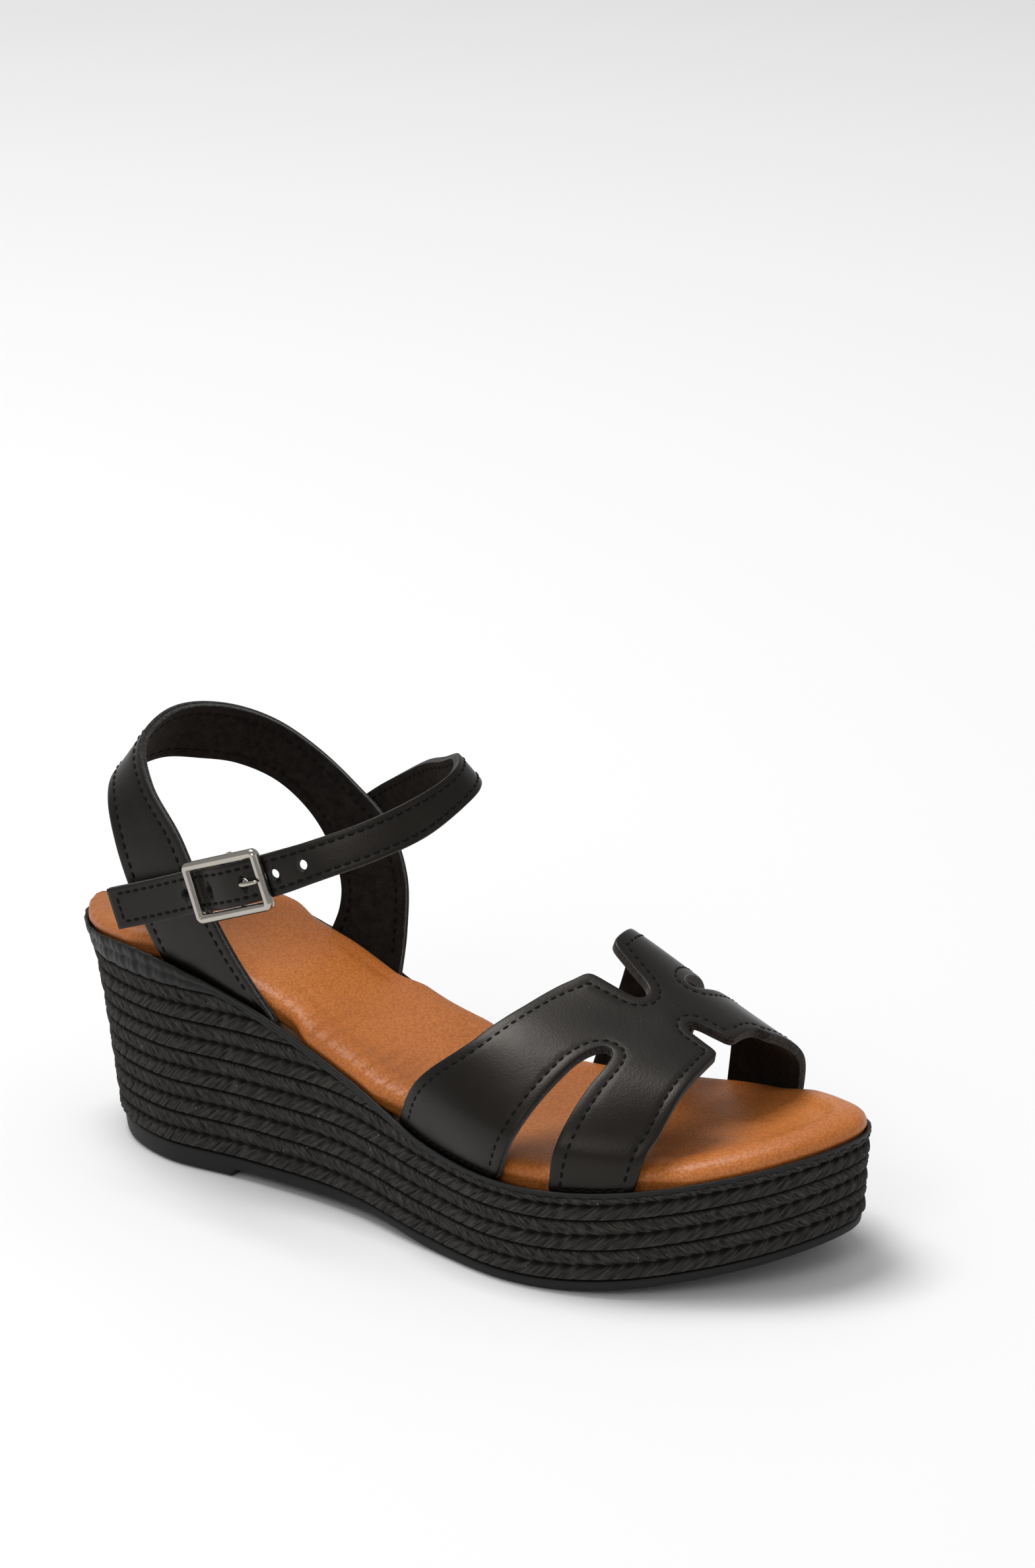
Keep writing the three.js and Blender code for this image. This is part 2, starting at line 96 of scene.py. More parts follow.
OUTER_SIDE = [(0, 0), (5, -10), (17, -21.5), (42, -30), (76, -31), (111, -35), (143, -45), (173, -52),
              (197, -48), (220, -35), (236, -21), (245, -5), (247, 8)]
INNER_SIDE = [(0, 0), (5, 11), (17, 20), (39, 27), (74, 27), (111, 23), (143, 30), (173, 39),
              (196, 42.5), (217, 37), (233, 27), (243, 17.5), (247, 8)]
outer_y, inner_y = graph(OUTER_SIDE), graph(INNER_SIDE)
rim_z = graph([(0, 58), (40, 60), (74, 52), (111, 39), (143, 29.5), (173, 27.5), (210, 30), (247, 37.5)])


def toe_spring(x):
    return 10 * np.clip((x - 0.72 * RIM_LENGTH) / (0.28 * RIM_LENGTH), 0, 1) ** 1.8


class Outline:
    """The rim of the sole at even steps round it, from the heel along the outer side to the toe and back."""

    def __init__(self, steps):
        loop = line_through([(*p, 0) for p in OUTER_SIDE + INNER_SIDE[-2:0:-1]], closed=True)
        rough = loop(np.linspace(0, 1, 6000))
        walked = np.append(0, np.cumsum(np.linalg.norm(np.diff(rough, axis=0), axis=1)))
        self.round = walked[-1]
        self.s = np.linspace(0, self.round, steps + 1)
        self.x, self.y = (np.interp(self.s, walked, rough[:, n]) for n in (0, 1))
        dx, dy = (np.gradient(np.r_[a[-2], a, a[1]])[1:-1] for a in (self.x, self.y))
        size = np.hypot(dx, dy)
        self.in_x, self.in_y = -dy / size, dx / size
        self.top = rim_z(self.x)

    def wall(self, z, depth):
        """Points `depth` inside the wall's face at height z, for nets of one row per step of the rim."""
        x, y, top, in_x, in_y = (a[:, None] for a in (self.x, self.y, self.top, self.in_x, self.in_y))
        drop = 1 - np.clip(z / top, 0, 1)
        inset = depth - 1.2 * drop
        taper = 14 * (1 - smooth(x, 0, 70)) - 3 * smooth(x, 200, RIM_LENGTH)
        return np.stack([x + taper * drop ** 0.7 + in_x * inset, y + in_y * inset, z + 0 * inset], axis=-1)

    def middle(self, z_of):
        """The line down the middle of the foot, opposite each step of the rim."""
        other = np.where(self.s < self.round / 2, inner_y(self.x), outer_y(self.x))
        x = np.clip(self.x + 0 * other, 16, RIM_LENGTH - 26)
        return np.stack([x, (outer_y(x) + inner_y(x)) / 2, z_of(x)], axis=-1)[:, None]


def lay_net(name, net, materials, uv=None, paint=None, smooth_shading=True, close_ends=False):
    """A grid of faces laid on a net of points in millimetres; edges of the net that meet are joined."""
    rows, columns = net.shape[:2]
    net = in_frame(net)
    bm = bmesh.new()
    uv_layer = bm.loops.layers.uv.new("UVMap")
    bmesh.ops.create_grid(bm, x_segments=rows - 1, y_segments=columns - 1, size=1)
    places = {}
    for v in bm.verts:
        places[v] = (round((v.co.x + 1) / 2 * (rows - 1)), round((v.co.y + 1) / 2 * (columns - 1)))
    for face in bm.faces:
        at = [places[loop.vert] for loop in face.loops]
        if uv is not None:
            for loop, spot in zip(face.loops, at):
                loop[uv_layer].uv = uv[spot]
        if paint:
            face.material_index = paint(min(a[0] for a in at), min(a[1] for a in at))
        face.smooth = smooth_shading
    for v, spot in places.items():
        v.co = net[spot]
    bmesh.ops.remove_doubles(bm, verts=bm.verts, dist=2e-7)
    if close_ends:
        loose = [e for e in bm.edges if e.is_boundary]
        if loose:
            bmesh.ops.holes_fill(bm, edges=loose)
    bmesh.ops.recalc_face_normals(bm, faces=bm.faces)
    return finish_mesh(name, bm, materials)


def finish_mesh(name, bm, materials):
    mesh = bpy.data.meshes.new(name)
    bm.to_mesh(mesh)
    bm.free()
    for material in materials:
        mesh.materials.append(material)
    piece = bpy.data.objects.new(name, mesh)
    bpy.context.scene.collection.objects.link(piece)
    return piece


def place_piece(piece, body, slot, *nodes):
    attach(piece, body)
    if nodes:
        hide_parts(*nodes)
    return piece


class Wire:
    """A node's output. Sums and products of wires and numbers become Math nodes."""

    def __init__(self, look, socket):
        self.look, self.socket = look, socket

    def maths(self, operation, a, b=0.0):
        return self.look.node("ShaderNodeMath", {"operation": operation}, {0: a, 1: b})

    def __add__(self, other):
        return self.maths("ADD", self, other)

    def __sub__(self, other):
        return self.maths("SUBTRACT", self, other)

    def __rsub__(self, other):
        return self.maths("SUBTRACT", other, self)

    def __mul__(self, other):
        return self.maths("MULTIPLY", self, other)

    def __gt__(self, other):
        return self.maths("GREATER_THAN", self, other)

    def __lt__(self, other):
        return self.maths("LESS_THAN", self, other)

    __radd__ = __add__
    __rmul__ = __mul__


class Finish:
    """A material in the making: one surface shader, its even values, and what varies over it."""

    def __init__(self, name, **even):
        self.material = bpy.data.materials.new(name)
        self.material.use_nodes = True
        self.tree = self.material.node_tree
        self.surface = self.tree.nodes["Principled BSDF"]
        for key, value in even.items():
            self.surface.inputs[key.replace("_", " ")].default_value = value

    def node(self, kind, settings=None, inputs=None, output=0):
        made = self.tree.nodes.new(kind)
        for key, value in (settings or {}).items():
            if key == "stops":
                ramp = made.color_ramp
                while len(ramp.elements) < len(value):
                    ramp.elements.new(0.5)
                for stop, (where, shade) in zip(ramp.elements, value):
                    stop.position, stop.color = where, (*shade, 1)
            else:
                setattr(made, key, value)
        for key, value in (inputs or {}).items():
            if isinstance(value, Wire):
                self.tree.links.new(value.socket, made.inputs[key])
            else:
                made.inputs[key].default_value = value
        return Wire(self, made.outputs[output])

    def feed(self, **varying):
        for key, wire in varying.items():
            self.tree.links.new(wire.socket, self.surface.inputs[key.replace("_", " ")])
        return self

    def place(self):
        return self.node("ShaderNodeTexCoord", output="Object")

    def noise(self, scale, detail=3.0, where=None, roughness=0.5):
        return self.node("ShaderNodeTexNoise", inputs={
            "Vector": where or self.place(), "Scale": scale, "Detail": detail, "Roughness": roughness})

    def cells(self, scale, where=None, feature="F1"):
        return self.node("ShaderNodeTexVoronoi", {"feature": feature},
                         {"Vector": where or self.place(), "Scale": scale})

    def ramp(self, wire, *stops):
        stops = [(where, shade if isinstance(shade, tuple) else (shade,) * 3) for where, shade in stops]
        return self.node("ShaderNodeValToRGB", {"stops": stops}, {0: wire})

    def blend(self, share, a, b):
        mix = self.node("ShaderNodeMix", {"data_type": "RGBA"}, {0: share}, output=2)
        for key, value in ((6, a), (7, b)):
            if isinstance(value, Wire):
                self.tree.links.new(value.socket, mix.socket.node.inputs[key])
            else:
                mix.socket.node.inputs[key].default_value = (*value, 1)
        return mix

    def bump(self, height, depth_mm, strength=1.0, below=None):
        inputs = {"Height": height, "Distance": depth_mm * TO_METRES, "Strength": strength}
        if below:
            inputs["Normal"] = below
        return self.node("ShaderNodeBump", inputs=inputs)


def flecks(finish, base, fleck, scale, size):
    """Tiny specks of dust over a dark surface."""
    return finish.blend(finish.cells(scale) < size, base, fleck)


rubber = Finish("sole_rubber", Roughness=0.62, Specular_IOR_Level=0.3)
rubber.feed(Base_Color=rubber.blend(rubber.noise(90), (0.006, 0.0058, 0.0055), (0.013, 0.0125, 0.012)),
            Normal=rubber.bump(rubber.noise(1400, 4), 0.12, 0.6))

around = Outline(480)


def sole_top(x):
    return SOLE_AT_HEEL - SOLE_THINNING * smooth(x, WAIST, BALL) + toe_spring(x)


def underside(x):
    step = np.where(x > PATCH_END, PATCH_STEP * (1 - smooth(x, 120, 150)), 0)
    return toe_spring(x) + step


def sole_sheet():
    x = around.x[:, None]
    low, high = underside(x), sole_top(x)
    rings = [around.wall(low + dz, inset) for inset, dz in ((1.9, 0), (1.25, 0.25), (0.9, 0.7), (0.8, 1.2))]
    rings += [around.wall(high - dz, inset) for inset, dz in ((0.7, 1.0), (0.75, 0.45), (1.0, 0.1), (1.6, 0))]
    net = np.concatenate([around.middle(underside), *rings, around.middle(sole_top)], axis=1)
    return lay_net("outsole_rubber", net, [rubber.material])


place_piece(sole_sheet(), "shoe", "sole_rubber", "outsole")

# ---- Core, board and foam ----------------------------------------------------------------------------
# Pressed cork cut to the wedge's shape, a fibre insole board on it, and a latex foam pad under the
# leather. All three are closed in by the rope, the rubber and the footbed.
cork = Finish("pressed_cork", Roughness=0.9)
cork.feed(Base_Color=cork.ramp(cork.cells(420), (0.0, (0.16, 0.09, 0.045)), (0.7, (0.42, 0.28, 0.16))),
          Normal=cork.bump(cork.cells(420), 0.3))
board = Finish("fibre_board", Roughness=0.9)
board.feed(Base_Color=board.blend(board.noise(600), (0.30, 0.20, 0.12), (0.42, 0.30, 0.19)))
foam = Finish("latex_foam", Roughness=0.85)
foam.feed(Base_Color=foam.blend(foam.noise(900), (0.62, 0.53, 0.36), (0.75, 0.66, 0.47)))
for node, made_of in (("wedge_core", cork), ("insole_board", board), ("footbed_foam", foam)):
    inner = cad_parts[node]
    inner.data.materials.clear()
    inner.data.materials.append(made_of.material)

# ---- Rope courses ------------------------------------------------------------------------------------
# Flat plaited cord glued round the wedge in courses. Each course is two plump strands whose yarns lean
# opposite ways and meet in a toothed valley; a deep seam parts one course from the next. The shade in
# the valleys and the seams is painted into the rope's colour as near-black.
LOCK = 4.3
LEAN = 1.15
COURSES = 5
COURSE_AT_HEEL, COURSE_THINNING = 9.2, 0.9
BREADTH = 9.0
MM_PER_UV = 10.0
COURSE_SHIFT = 1.7
rope = Finish("plaited_rope", Roughness=0.8, Specular_IOR_Level=0.3)
rope_split = rope.node("ShaderNodeSeparateXYZ", inputs={0: rope.node("ShaderNodeTexCoord", output=2)})
rope_up = Wire(rope, rope_split.socket.node.outputs["Y"])
rope_side = (rope_up > 0.5) * 2.0 - 1.0
rope_across = rope_side * (rope_up - 0.5) * BREADTH
rope_along = rope_split * MM_PER_UV
yarn_along = rope_along + rope_across * LEAN
yarn_place = rope.node("ShaderNodeCombineXYZ", inputs={
    0: yarn_along * 1.7, 1: (rope_across - rope_along * rope_side * 0.6) * 0.3, 2: rope_up * 3.0})
yarn_hair = rope.noise(1.0, 3, yarn_place, 0.5)
yarn_and_shade_tone = rope.blend(rope.ramp(yarn_hair, (0.36, 0.0), (0.66, 1.0)), (0.0075, 0.0067, 0.006),
                       (0.055, 0.049, 0.043))
tooth = rope_up.maths("COSINE", yarn_along * (2 * math.pi / LOCK))
from_valley = rope_across * (2 / BREADTH)
# painted shade: the rope's colour goes near-black in the toothed valley between strands and at the seam
# between courses
painted_shade_mask = (rope.ramp(from_valley - tooth * 0.10, (0.02, 0.0), (0.26, 1.0))
        * rope.ramp(from_valley, (0.88, 1.0), (0.985, 0.1)))
yarn_and_shade_tone = rope.blend(painted_shade_mask, (0.002, 0.0018, 0.0016), yarn_and_shade_tone)
rope.feed(Base_Color=flecks(rope, yarn_and_shade_tone, (0.20, 0.19, 0.17), 230, 0.05),
          Normal=rope.bump(yarn_hair, 0.75, 1.0, rope.bump(rope.noise(2600, 2), 0.08, 0.7)))

fine = Outline(1640)


def course_floor(number, x):
    return sole_top(x) + 0.3 + number * (COURSE_AT_HEEL - COURSE_THINNING * smooth(x, WAIST, BALL))


def binding_floor(x):
    return np.minimum(rim_z(x) - 2.6 + 1.1 * smooth(x, WAIST, BALL), course_floor(COURSES, x))


def rope_course(number):
    """One course of cord: its plaited face, a flat back, and closed ends where it dies out."""
    x = fine.x[:, None]
    low, roof = course_floor(number, x), course_floor(number + 1, x)
    high = np.minimum(roof - 0.1, binding_floor(x) + 0.1)
    z = low + (high - low) * np.linspace(0, 1, 27)[None]
    up = (z - low) / (roof - low)
    upper = up >= 0.5
    lean = np.where(upper, 1, -1)
    across = np.abs(up - 0.5) * 2
    along = fine.s[:, None] + number * COURSE_SHIFT + 0.35 * np.sin(fine.s[:, None] * 0.31)
    phase = 2 * math.pi * (along + lean * (up - 0.5) * BREADTH * LEAN) / LOCK
    valley = np.clip(across / (0.36 + 0.28 * np.cos(phase)), 0, 1)
    seam = np.clip((1 - across) / (0.20 + 0.05 * np.cos(phase)), 0, 1)
    plump = np.sqrt(1 - (1 - valley) ** 2) * np.sqrt(1 - (1 - seam) ** 2)
    lobe = np.abs(np.cos(phase / 2)) ** 0.6
    relief = -1.95 + 1.45 * plump + 0.85 * lobe * plump
    relief += 0.10 * np.sin(fine.s[:, None] / 17 + number) * plump
    face = fine.wall(z, -relief)
    back = fine.wall(np.concatenate([high, low], axis=1), np.full((len(fine.s), 2), 2.9))
    net = np.concatenate([face, back, face[:, :1]], axis=1)
    uv = np.zeros((*net.shape[:2], 2))
    uv[..., 0] = along / MM_PER_UV
    uv[:, :27, 1] = up
    shown = (high - low)[:, 0] > 0.35
    if not shown.all():
        first, last = len(shown) - np.argmin(shown[::-1]), np.argmin(shown)
        walk = np.r_[first:len(shown) - 1, 0:last]
        net, uv = net[walk], uv[walk]
        uv[:len(shown) - 1 - first, :, 0] -= fine.round / MM_PER_UV
    return lay_net(f"rope_course_{number + 1}", net, [rope.material], uv, close_ends=True)


for number in range(COURSES):
    place_piece(rope_course(number), "shoe", "rope", f"rope_band_{number + 1}")

# ---- Rim binding -------------------------------------------------------------------------------------
# A strip of black ribbed tape folded over the wedge's top edge. It is broad and rolls outwards at the
# heel, and it thins to a narrow bead along the waist and the forefoot.
bound = Finish("bound_edge", Roughness=0.5, Specular_IOR_Level=0.3)
bound.feed(Base_Color=bound.blend(bound.noise(300, 4), (0.004, 0.0036, 0.0033), (0.012, 0.011, 0.010)),
           Normal=bound.bump(bound.noise(1100, 4), 0.2, 0.8, bound.bump(bound.noise(150, 3), 0.5, 0.7)))


def rim_strip():
    x, top = fine.x[:, None], fine.top[:, None]
    tall = top - binding_floor(x)
    broad = smooth(tall, 2.6, 5.5)
    s = fine.s[:, None]
    fold = (0.16 * np.sin(s * 0.8 + 2 * np.sin(s * 0.13)) + 0.08 * np.sin(s * 2.1)) * broad
    fold = fold + 0.04 * np.sin(s * 1.3)
    shape = ((0.75, -1.0), (0.25, -1.0), (-0.2, -0.93), (-0.45, -0.75), (-0.42, -0.55), (-0.1, -0.46),
             (-0.5, -0.36), (-0.6, -0.2), (-0.35, -0.07), (0.0, -0.02), (0.35, -0.01), (0.7, -0.06),
             (1.0, -0.3), (1.2, -0.8),
             (0.75, -1.0))
    lines = []
    for depth, dz in shape:
        rolled = depth * (0.35 + 0.65 * broad) if depth < 0 else depth + 0 * broad
        lines.append(fine.wall(top + tall * dz + 0.02, rolled + fold * (depth < 0.5)))
    return lay_net("rim_strip", np.concatenate(lines, axis=1), [bound.material])


place_piece(rim_strip(), "shoe", "binding", "rim_binding")

# ---- Footbed -----------------------------------------------------------------------------------------
# Soft tan leather drawn over the foam pad and tucked under all round, so its edge is a plump roll. It
# creases in the waist and round the heel, and it is pressed a little flat under the heel and the ball.
tan = Finish("tan_leather", Roughness=0.45, Specular_IOR_Level=0.35)
tan_and_shade_tone = tan.blend(tan.ramp(tan.noise(22, 4), (0.3, 0.0), (0.7, 1.0)), (0.52, 0.158, 0.031),
                     (0.64, 0.215, 0.049))
tan_and_shade_tone = tan.blend(tan.ramp(tan.cells(1250), (0.25, 0.0), (0.7, 0.45)), tan_and_shade_tone, (0.30, 0.072, 0.010))
tan_scuff = tan.ramp(tan.noise(1.0, 5, tan.node("ShaderNodeMapping", inputs={
    0: tan.place(), "Scale": (60, 420, 60)})), (0.66, 0.0), (0.74, 1.0))
tan_and_shade_tone = tan.blend(tan_scuff * 0.25, tan_and_shade_tone, (0.72, 0.34, 0.13))
# painted shade: the tan goes darker over the last 60 mm towards the back of the heel, where the roll faces
# away from the light
tan_along = tan.node("ShaderNodeSeparateXYZ", inputs={0: tan.place()})
tan_and_shade_tone = tan.blend(tan.ramp(tan_along + 0.125, (0.0, 0.55), (0.06, 0.0)), tan_and_shade_tone, (0.24, 0.085, 0.030))
tan_pores = tan.bump(tan.cells(1250, feature="SMOOTH_F1"), -0.16, 0.8)
tan_creases = tan.bump(tan.noise(1.0, 6, tan.node("ShaderNodeMapping", inputs={
    0: tan.place(), "Scale": (340, 130, 200), "Rotation": (0, 0, 0.5)}), 0.6), 0.35, 0.35, tan_pores)
tan.feed(Base_Color=tan_and_shade_tone, Normal=tan_creases,
         Roughness=tan.ramp(tan.noise(60, 4), (0.3, 0.36), (0.7, 0.52)))


def footbed_edge(x, outer):
    """How far the roll stands in from the rim: close to it, but behind the straps' feet."""
    vamp_foot = smooth(x, 118, 130) * (1 - smooth(x, 208, 220))
    heel_foot = (smooth(x, 30, 44) * (1 - smooth(x, 86, 96)) * outer
                 + smooth(x, 52, 64) * (1 - smooth(x, 92, 101)) * (1 - outer))
    return 1.6 + 3.7 * np.maximum(vamp_foot, heel_foot)


def padded_footbed():
    x, top = around.x[:, None], around.top[:, None]
    outer = (around.s < around.round / 2).astype(float)[:, None]
    edge = footbed_edge(x, outer)
    roll = ((1.6, -3.2), (0.7, -2.6), (0.1, -1.4), (0.0, -0.1), (-0.5, 0.7), (-0.45, 1.7), (0.0, 2.7),
            (0.8, 3.5), (2.0, 4.15), (3.6, 4.5), (5.6, 4.68), (8.2, 4.68))
    waist = smooth(x, 78, 92) * (1 - smooth(x, 124, 142)) * outer
    heel = 1 - smooth(x, 18, 46)
    pleat = (np.sin(around.s * 1.75 + 1.3 * np.sin(around.s * 0.37)) * 0.42 * waist.T
             + np.sin(around.s * 1.1 + 2 * np.sin(around.s * 0.21)) * 0.24 * heel.T).T
    rings = []
    for inset, dz in roll:
        weight = math.exp(-((dz - 3.6) / 1.9) ** 2)
        rings.append(around.wall(top + dz + pleat * weight, edge + inset - 0.5 * pleat * weight))
        rings[-1][..., 2] = top + dz + pleat * weight
    last = rings[-1]
    middle = around.middle(lambda x: rim_z(x) + 4.3 - 0.8 * smooth(x, 5, 30) * (1 - smooth(x, 60, 90))
                           - 0.4 * smooth(x, 150, 175) * (1 - smooth(x, 195, 215)))
    shares = (0.08, 0.2, 0.35, 0.52, 0.7, 0.86, 1.0)
    inner = [last + (middle - last) * share for share in shares]
    crown = last[..., 2] - top
    for ring, share in zip(inner, shares):
        level = rim_z(ring[..., 0])
        ring[..., 2] = level + crown + (middle[..., 2] - rim_z(middle[..., 0]) - crown) * smooth(share, 0, 1)
        ring[..., 2] += 0.10 * np.sin(ring[..., 0] / 7 + ring[..., 1] / 11) * (1 - share) ** 0.5
    floor = around.middle(lambda x: rim_z(x) - 3.2)
    return lay_net("footbed_pad", np.concatenate([floor, *rings, *inner], axis=1), [tan.material])


footbed = place_piece(padded_footbed(), "shoe", "tan_leather", "footbed_cover")

# ---- Vamp band ---------------------------------------------------------------------------------------
# One piece of smooth black leather lined with suede, cut to four legs whose feet go down between the
# rim and the footbed. A stitch runs three millimetres in from every edge, round the slots too.
leather = Finish("black_leather", Roughness=0.34, Specular_IOR_Level=0.30, Specular_Tint=(1, 0.93, 0.86, 1))
leather_grain = leather.bump(leather.cells(1900, feature="SMOOTH_F1"), 0.05, 0.45,
                             leather.bump(leather.noise(700, 4), 0.06, 0.4))
leather_tone = leather.blend(leather.noise(40), (0.0036, 0.0027, 0.0020), (0.0062, 0.0047, 0.0036))
leather.feed(Base_Color=flecks(leather, leather_tone, (0.10, 0.095, 0.085), 150, 0.02),
             Roughness=leather.ramp(leather.noise(55, 4), (0.3, 0.30), (0.7, 0.42)),
             Normal=leather_grain)
suede = Finish("suede_lining", Roughness=0.96, Specular_IOR_Level=0.15, Sheen_Weight=0.1, Sheen_Roughness=0.5,
               Sheen_Tint=(0.4, 0.37, 0.34, 1))
suede.feed(Base_Color=suede.blend(suede.ramp(suede.noise(420, 6, None, 0.7), (0.35, 0.0), (0.7, 1.0)),
                                  (0.0045, 0.0038, 0.0033), (0.017, 0.0145, 0.0125)),
           Normal=suede.bump(suede.noise(1500, 4), 0.22, 0.9))
raw_edge = Finish("raw_edge", Roughness=0.95, Specular_IOR_Level=0.2, Sheen_Weight=0.2, Sheen_Roughness=0.5)
raw_edge.feed(Base_Color=raw_edge.blend(raw_edge.ramp(raw_edge.noise(1300, 5), (0.4, 0.0), (0.7, 1.0)),
                                        (0.008, 0.0075, 0.007), (0.050, 0.047, 0.043)),
              Normal=raw_edge.bump(raw_edge.noise(2200, 3), 0.2, 1.0))
thread = Finish("waxed_thread", Roughness=0.6, Specular_IOR_Level=0.12)
thread.feed(Base_Color=thread.blend(thread.noise(2500), (0.0012, 0.001, 0.0009), (0.004, 0.0035, 0.003)),
            Normal=thread.bump(thread.noise(3000, 2), 0.05, 0.6))

STATIONS = (125, 160, 185, 222)
SECTIONS = np.array([[(-39, 47), (-32, 62), (-12, 75), (14, 86), (28, 68)],
                     [(-48, 43), (-37, 58), (-14, 68), (16, 78), (36, 60)],
                     [(-48, 40), (-33, 54), (-12, 61.5), (15, 66), (38, 51)],
                     [(-31, 38), (-23, 47), (-7, 52), (10, 52.5), (28, 44)]], float)
vamp_lines = [line_through([(x, *SECTIONS[s, k]) for s, x in enumerate(STATIONS)]) for k in range(5)]
station_share = graph([(x, k / 3) for k, x in enumerate(STATIONS)])
vamp_back = graph([(0, 130), (0.167, 139), (0.333, 154), (0.5, 163), (0.58, 168), (0.65, 167), (0.75, 162),
                   (0.833, 157), (1, 149)])
vamp_front = graph([(0, 205), (0.167, 207), (0.333, 209), (0.5, 209), (0.6, 209), (0.7, 212), (0.833, 214),
                    (1, 211)])
ACROSS = 165.0


def vamp_foot(side, x):
    edge = outer_y if side < 0 else inner_y
    slope = (edge(x + 2) - edge(x - 2)) / 4
    return (x, edge(x) - side * 3.4 * np.hypot(1, slope), rim_z(x) - 1.0)


def vamp_net(xs, us):
    """Points of the band's middle surface for every x of xs (rows) and u of us (columns)."""
    rows = []
    for x in xs:
        middle = [line(station_share(x)) for line in vamp_lines]
        rows.append(line_through([vamp_foot(-1, x), *middle, vamp_foot(1, x)])(us))
    return np.array(rows)


vamp_x, vamp_u = np.linspace(125, 222, 98), np.linspace(0, 1, 221)
vamp_table = vamp_net(vamp_x, vamp_u)
vamp_du, vamp_dx = np.gradient(vamp_table, axis=1), np.gradient(vamp_table, axis=0)
vamp_normals = np.cross(vamp_dx, vamp_du)
vamp_normals /= np.linalg.norm(vamp_normals, axis=-1, keepdims=True)


def on_vamp(flat, lift):
    """Points on the band from flat places (across, along) in millimetres, lifted off its middle."""
    c = np.clip(flat[:, 0] / ACROSS, 0, 1) * (len(vamp_u) - 1)
    r = np.clip((flat[:, 1] - vamp_x[0]) / (vamp_x[-1] - vamp_x[0]), 0, 1) * (len(vamp_x) - 1)
    i, j = np.minimum(r.astype(int), len(vamp_x) - 2), np.minimum(c.astype(int), len(vamp_u) - 2)
    a, b = (r - i)[:, None], (c - j)[:, None]

    def sample(table):
        return ((1 - a) * ((1 - b) * table[i, j] + b * table[i, j + 1])
                + a * ((1 - b) * table[i + 1, j] + b * table[i + 1, j + 1]))

    normal = sample(vamp_normals)
    normal /= np.linalg.norm(normal, axis=1, keepdims=True)
    return sample(vamp_table) + normal * np.asarray(lift, float)[:, None], normal


def slot_outline(mouth, end, mouth_width, end_width, along_foot):
    """A cut-out's edge as flat places, from one side of its mouth round its end to the other."""
    mouth, end = ((np.array(p, float) * (ACROSS, 1)) for p in (mouth, end))
    sides = []
    s = np.r_[np.linspace(0, 0.8, 40), 0.8 + 0.2 * np.sin(np.linspace(0.02, 1, 24) * math.pi / 2)]
    bow = np.where(s < 0.8, 1, np.sqrt(np.clip(1 - ((s - 0.8) / 0.2) ** 2, 0, 1)))
    width = (mouth_width + (end_width - mouth_width) * np.minimum(1, s / 0.8)) * bow / 2
    across = np.array((1, 0) if along_foot else (0, 1), float)
    for sign in (-1, 1):
        sides.append(mouth + (end - mouth) * s[:, None] + sign * width[:, None] * across)
    return np.vstack([sides[0], sides[1][::-1]])


def inside(points, loop):
    x, y = points[:, :1], points[:, 1:2]
    ax, ay = loop[:, 0][None], loop[:, 1][None]
    bx, by = np.roll(ax, -1, 1), np.roll(ay, -1, 1)
    cross = ((ay > y) != (by > y)) & (x < (bx - ax) * (y - ay) / np.where(by == ay, 1e-9, by - ay) + ax)
    return cross.sum(1) % 2 == 1


def vamp_outline():
    """The band's whole edge as one closed loop of flat places, evenly stepped, corners eased."""
    u, t = np.linspace(0, 1, 500), np.linspace(0, 1, 300)
    front = np.stack([u * ACROSS, vamp_front(u)], 1)
    back = np.stack([u[::-1] * ACROSS, vamp_back(u[::-1])], 1)
    inner = np.stack([np.full(300, ACROSS), vamp_front(1) + (vamp_back(1) - vamp_front(1)) * t], 1)
    outer = np.stack([np.zeros(300), vamp_back(0) + (vamp_front(0) - vamp_back(0)) * t], 1)
    whole = np.vstack([front, inner, back, outer])
    slots = [slot_outline((0.55, 220), (0.565, 196.5), 15, 6, True),
             slot_outline((1.05, 178), (0.66, 188), 17, 7, False),
             slot_outline((0.6, 158), (0.575, 184), 14, 7, True),
             slot_outline((-0.05, 174.5), (0.42, 186), 17, 8, False)]
    walk = []
    for edge, slot in zip((front, inner, back, outer), slots):
        outside = ~inside(edge, slot)
        before = edge[:np.argmin(outside)]
        after = edge[len(edge) - np.argmin(outside[::-1]):]
        cut = slot[inside(slot, whole)]
        if np.linalg.norm(cut[0] - before[-1]) > np.linalg.norm(cut[-1] - before[-1]):
            cut = cut[::-1]
        walk += [before, cut, after]
    loop = np.vstack(walk)
    for _ in range(2):
        step = np.linalg.norm(np.diff(loop, axis=0, append=loop[:1]), axis=1)
        walked = np.append(0, np.cumsum(step))
        even = np.arange(0, walked[-1], 0.8)
        ring = np.vstack([loop, loop[:1]])
        loop = np.stack([np.interp(even, walked, ring[:, n]) for n in (0, 1)], 1)
        for _ in range(3):
            loop = (np.roll(loop, 1, 0) + 2 * loop + np.roll(loop, -1, 0)) / 4
    return loop


def offset_in(loop, distance):
    """The loop moved in by a distance, without the places that come too close to another edge."""
    along = np.roll(loop, -1, 0) - np.roll(loop, 1, 0)
    inward = np.stack([-along[:, 1], along[:, 0]], 1) / np.linalg.norm(along, axis=1, keepdims=True)
    moved = loop + inward * distance
    gaps = np.linalg.norm(moved[:, None] - loop[None], axis=2).min(1)
    return moved, gaps > distance * 0.97


vamp_edge = vamp_outline()
following = np.roll(vamp_edge, -1, 0)
area = np.sum(vamp_edge[:, 0] * following[:, 1] - following[:, 0] * vamp_edge[:, 1])
if area < 0:
    vamp_edge = vamp_edge[::-1]
SEAM_IN = 3.0


